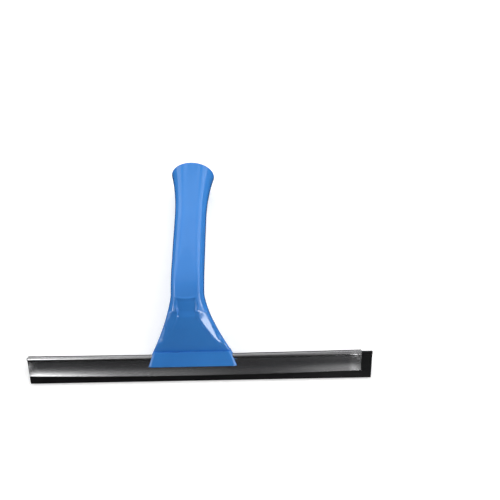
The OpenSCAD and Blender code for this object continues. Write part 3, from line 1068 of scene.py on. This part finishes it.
mirror_box("left_strip", (-1.03, -0.21), (0.94, 0.6), 2.5)
mirror_box("middle_strip", (-0.35, -0.3), (0.46, 0.8), 0.13)
mirror_box("right_dim", (0.33, -0.3), (0.25, 0.8), 0.28)
mirror_box("right_strip", (0.6, -0.3), (0.3, 0.8), 0.65)
mirror_box("right_far", (1.02, -0.3), (0.55, 0.8), 0.26)
mirror_box("left_behind", (-0.95, 0.4), (0.9, 0.6), 0.8)
mirror_box("middle_behind", (-0.1, 0.4), (0.8, 0.6), 0.3)
mirror_box("far_behind", (0, 1.05), (2.4, 0.7), 0.37)
print("boxes over the blade:", len(bpy.data.lights))

# %% [markdown]
# ## Light for the floor and the colours
# Wide boxes over and beside the part give the plain light that shows a colour as it is. Reflections do
# not see them, so however large they are, they leave no pale patches on the gloss.

# %% Wide boxes
at_centre, at_head, at_blade = (0, 0, 0), (0.03, -0.06, 0.03), (0.03, -0.07, 0.03)
soft_box("over_blade", (-0.1, -0.3, high), (2.8, 0.8), 0.95, (-0.1, -0.3, 0), shown=False)
soft_box("over_grip", (0, 0.4, high), (2.7, 0.6), 3.6, (0, 0.4, 0), shown=False)
soft_box("high_back", (0, 1.05, high), (2.4, 0.7), 2.7, at_centre, shown=False)
soft_box("low_back", (0, 1.3, 0.5), (2.3, 0.5), 1.45, at_centre, shown=False)
soft_box("left_wall", (-1.5, 0.3, 0.7), (0.8, 0.8), 3.9, at_centre, shown=False)
soft_box("right_wall", (1.5, 0.3, 0.7), (0.8, 0.8), 1.6, at_centre, shown=False)
soft_box("left_floor", (-1.48, -0.26, 0.17), (0.4, 0.25), 1.4, at_head, shown=False)

# %% [markdown]
# ## Highlights
# A gloss shows a small bright box as a highlight wherever the surface tips towards it. These stand behind
# the part, beside it and in front of it. Two of those in front light the part as well, and the others are
# only mirrored.

# %% Bright boxes
soft_box("back_box", (-0.8, 1.3, 0.5), (0.7, 0.5), 0.32, at_centre, lit=False)
soft_box("side_box", (-1.5, 0.3, 0.7), (0.8, 0.8), 0.92, at_centre, lit=False)
soft_box("low_left", (-1.48, -0.26, 0.17), (0.4, 0.25), 1.2, at_head, lit=False)
soft_box("pillar_left", (-1.48, -0.47, 0.14), (0.16, 0.12), 5.0, at_blade, lit=False)
soft_box("pillar_right", (1.3, -0.22, 0.145), (0.16, 0.12), 5.0, at_blade, lit=False)
soft_box("front_box", (0.72, -0.93, 0.33), (0.4, 0.42), 5.0, at_head)
soft_box("crest_box", (0.19, -1.16, 0.48), (0.2, 0.2), 2.2, at_head)
soft_box("near_box", (0, -1.25, 0.45), (1.6, 0.5), 0.6, at_centre, lit=False)
print("boxes in all:", len(bpy.data.lights))

# %% [markdown]
# ## Black cards
# Metal and gloss need dark places to mirror as much as light ones. So black cards stand in front of the
# part and near the channel's right end, and one lies on the sheet. The eye does not see them, and they
# cast no shadow.

# %% Cards
velvet = Graph("black_velvet").finish(Base_Color=(0.01, 0.01, 0.01, 1), Roughness=1.0,
                                      Specular_IOR_Level=0.0)


def black_card(name, place, size, turned):
    """A card that only reflections see."""
    bpy.ops.object.select_all(action="DESELECT")
    bpy.ops.mesh.primitive_plane_add(size=1, location=place, rotation=turned)
    card = named(name)
    card.scale = (size[0], size[1], 1)
    bpy.ops.object.transform_apply(location=True, rotation=True, scale=True)
    card.visible_camera = card.visible_diffuse = card.visible_shadow = False
    dress(velvet, card)
    print(card.name, [round(c, 2) for c in card.dimensions], "m")


upright = math.pi / 2
black_card("front_card", (-0.55, -1.1, 0.45), (2.2, 0.9), (upright, 0, 0))
black_card("floor_card", (0, 0.10, 0.0005), (2.8, 2.4), (0, 0, 0))
black_card("end_card", (0.235, -0.185, 0.045), (0.048, 0.12), (upright, 0, 0.59))

# %% [markdown]
# ## The room
# Beyond the sheet the room is nearly black, and a little lighter towards the back. The direction of a ray
# along Y chooses between the two greys.

# %% World
front_grey, back_grey = (0.02, 0.02, 0.022, 1), (0.06, 0.06, 0.065, 1)
world = bpy.data.worlds.new("studio")
world.use_nodes = True
room = world.node_tree
direction = room.nodes.new("ShaderNodeTexCoord").outputs["Generated"]
split = room.nodes.new("ShaderNodeSeparateXYZ")
to_back = room.nodes.new("ShaderNodeMapRange")
shade = room.nodes.new("ShaderNodeMix")
shade.data_type = "RGBA"
shade.inputs[6].default_value = front_grey
shade.inputs[7].default_value = back_grey
to_back.inputs[1].default_value = -0.2
to_back.inputs[2].default_value = 0.9
room.links.new(direction, split.inputs[0])
room.links.new(split.outputs["Y"], to_back.inputs[0])
room.links.new(to_back.outputs[0], shade.inputs[0])
room.links.new(shade.outputs[2], room.nodes["Background"].inputs["Color"])
bpy.context.scene.world = world
bpy.context.scene.view_settings.view_transform = "Standard"
print("room nodes:", len(room.nodes))

# %% [markdown]
# ## The camera
# The camera stands above the blade, a little to the right of the handle, and looks down and slightly
# forward. It is close, so the near lip of the channel and the flared end of the handle are seen from
# clearly different angles.

# %% Camera
camera_data = bpy.data.cameras.new("camera")
camera_data.lens = 36
camera_data.sensor_width = 36
camera = bpy.data.objects.new("camera", camera_data)
bpy.context.collection.objects.link(camera)
right = Vector((0.99931, -0.01850, -0.03205))
up = Vector((0.02610, 0.96629, 0.25611))
forward = up.cross(right).normalized()
up = right.cross(forward)
turned = Matrix((right, up, -forward)).transposed().to_4x4()
camera.matrix_world = Matrix.Translation((0.07020, -0.11716, 0.54014)) @ turned
bpy.context.scene.camera = camera
print("camera looks along", [round(c, 3) for c in forward])
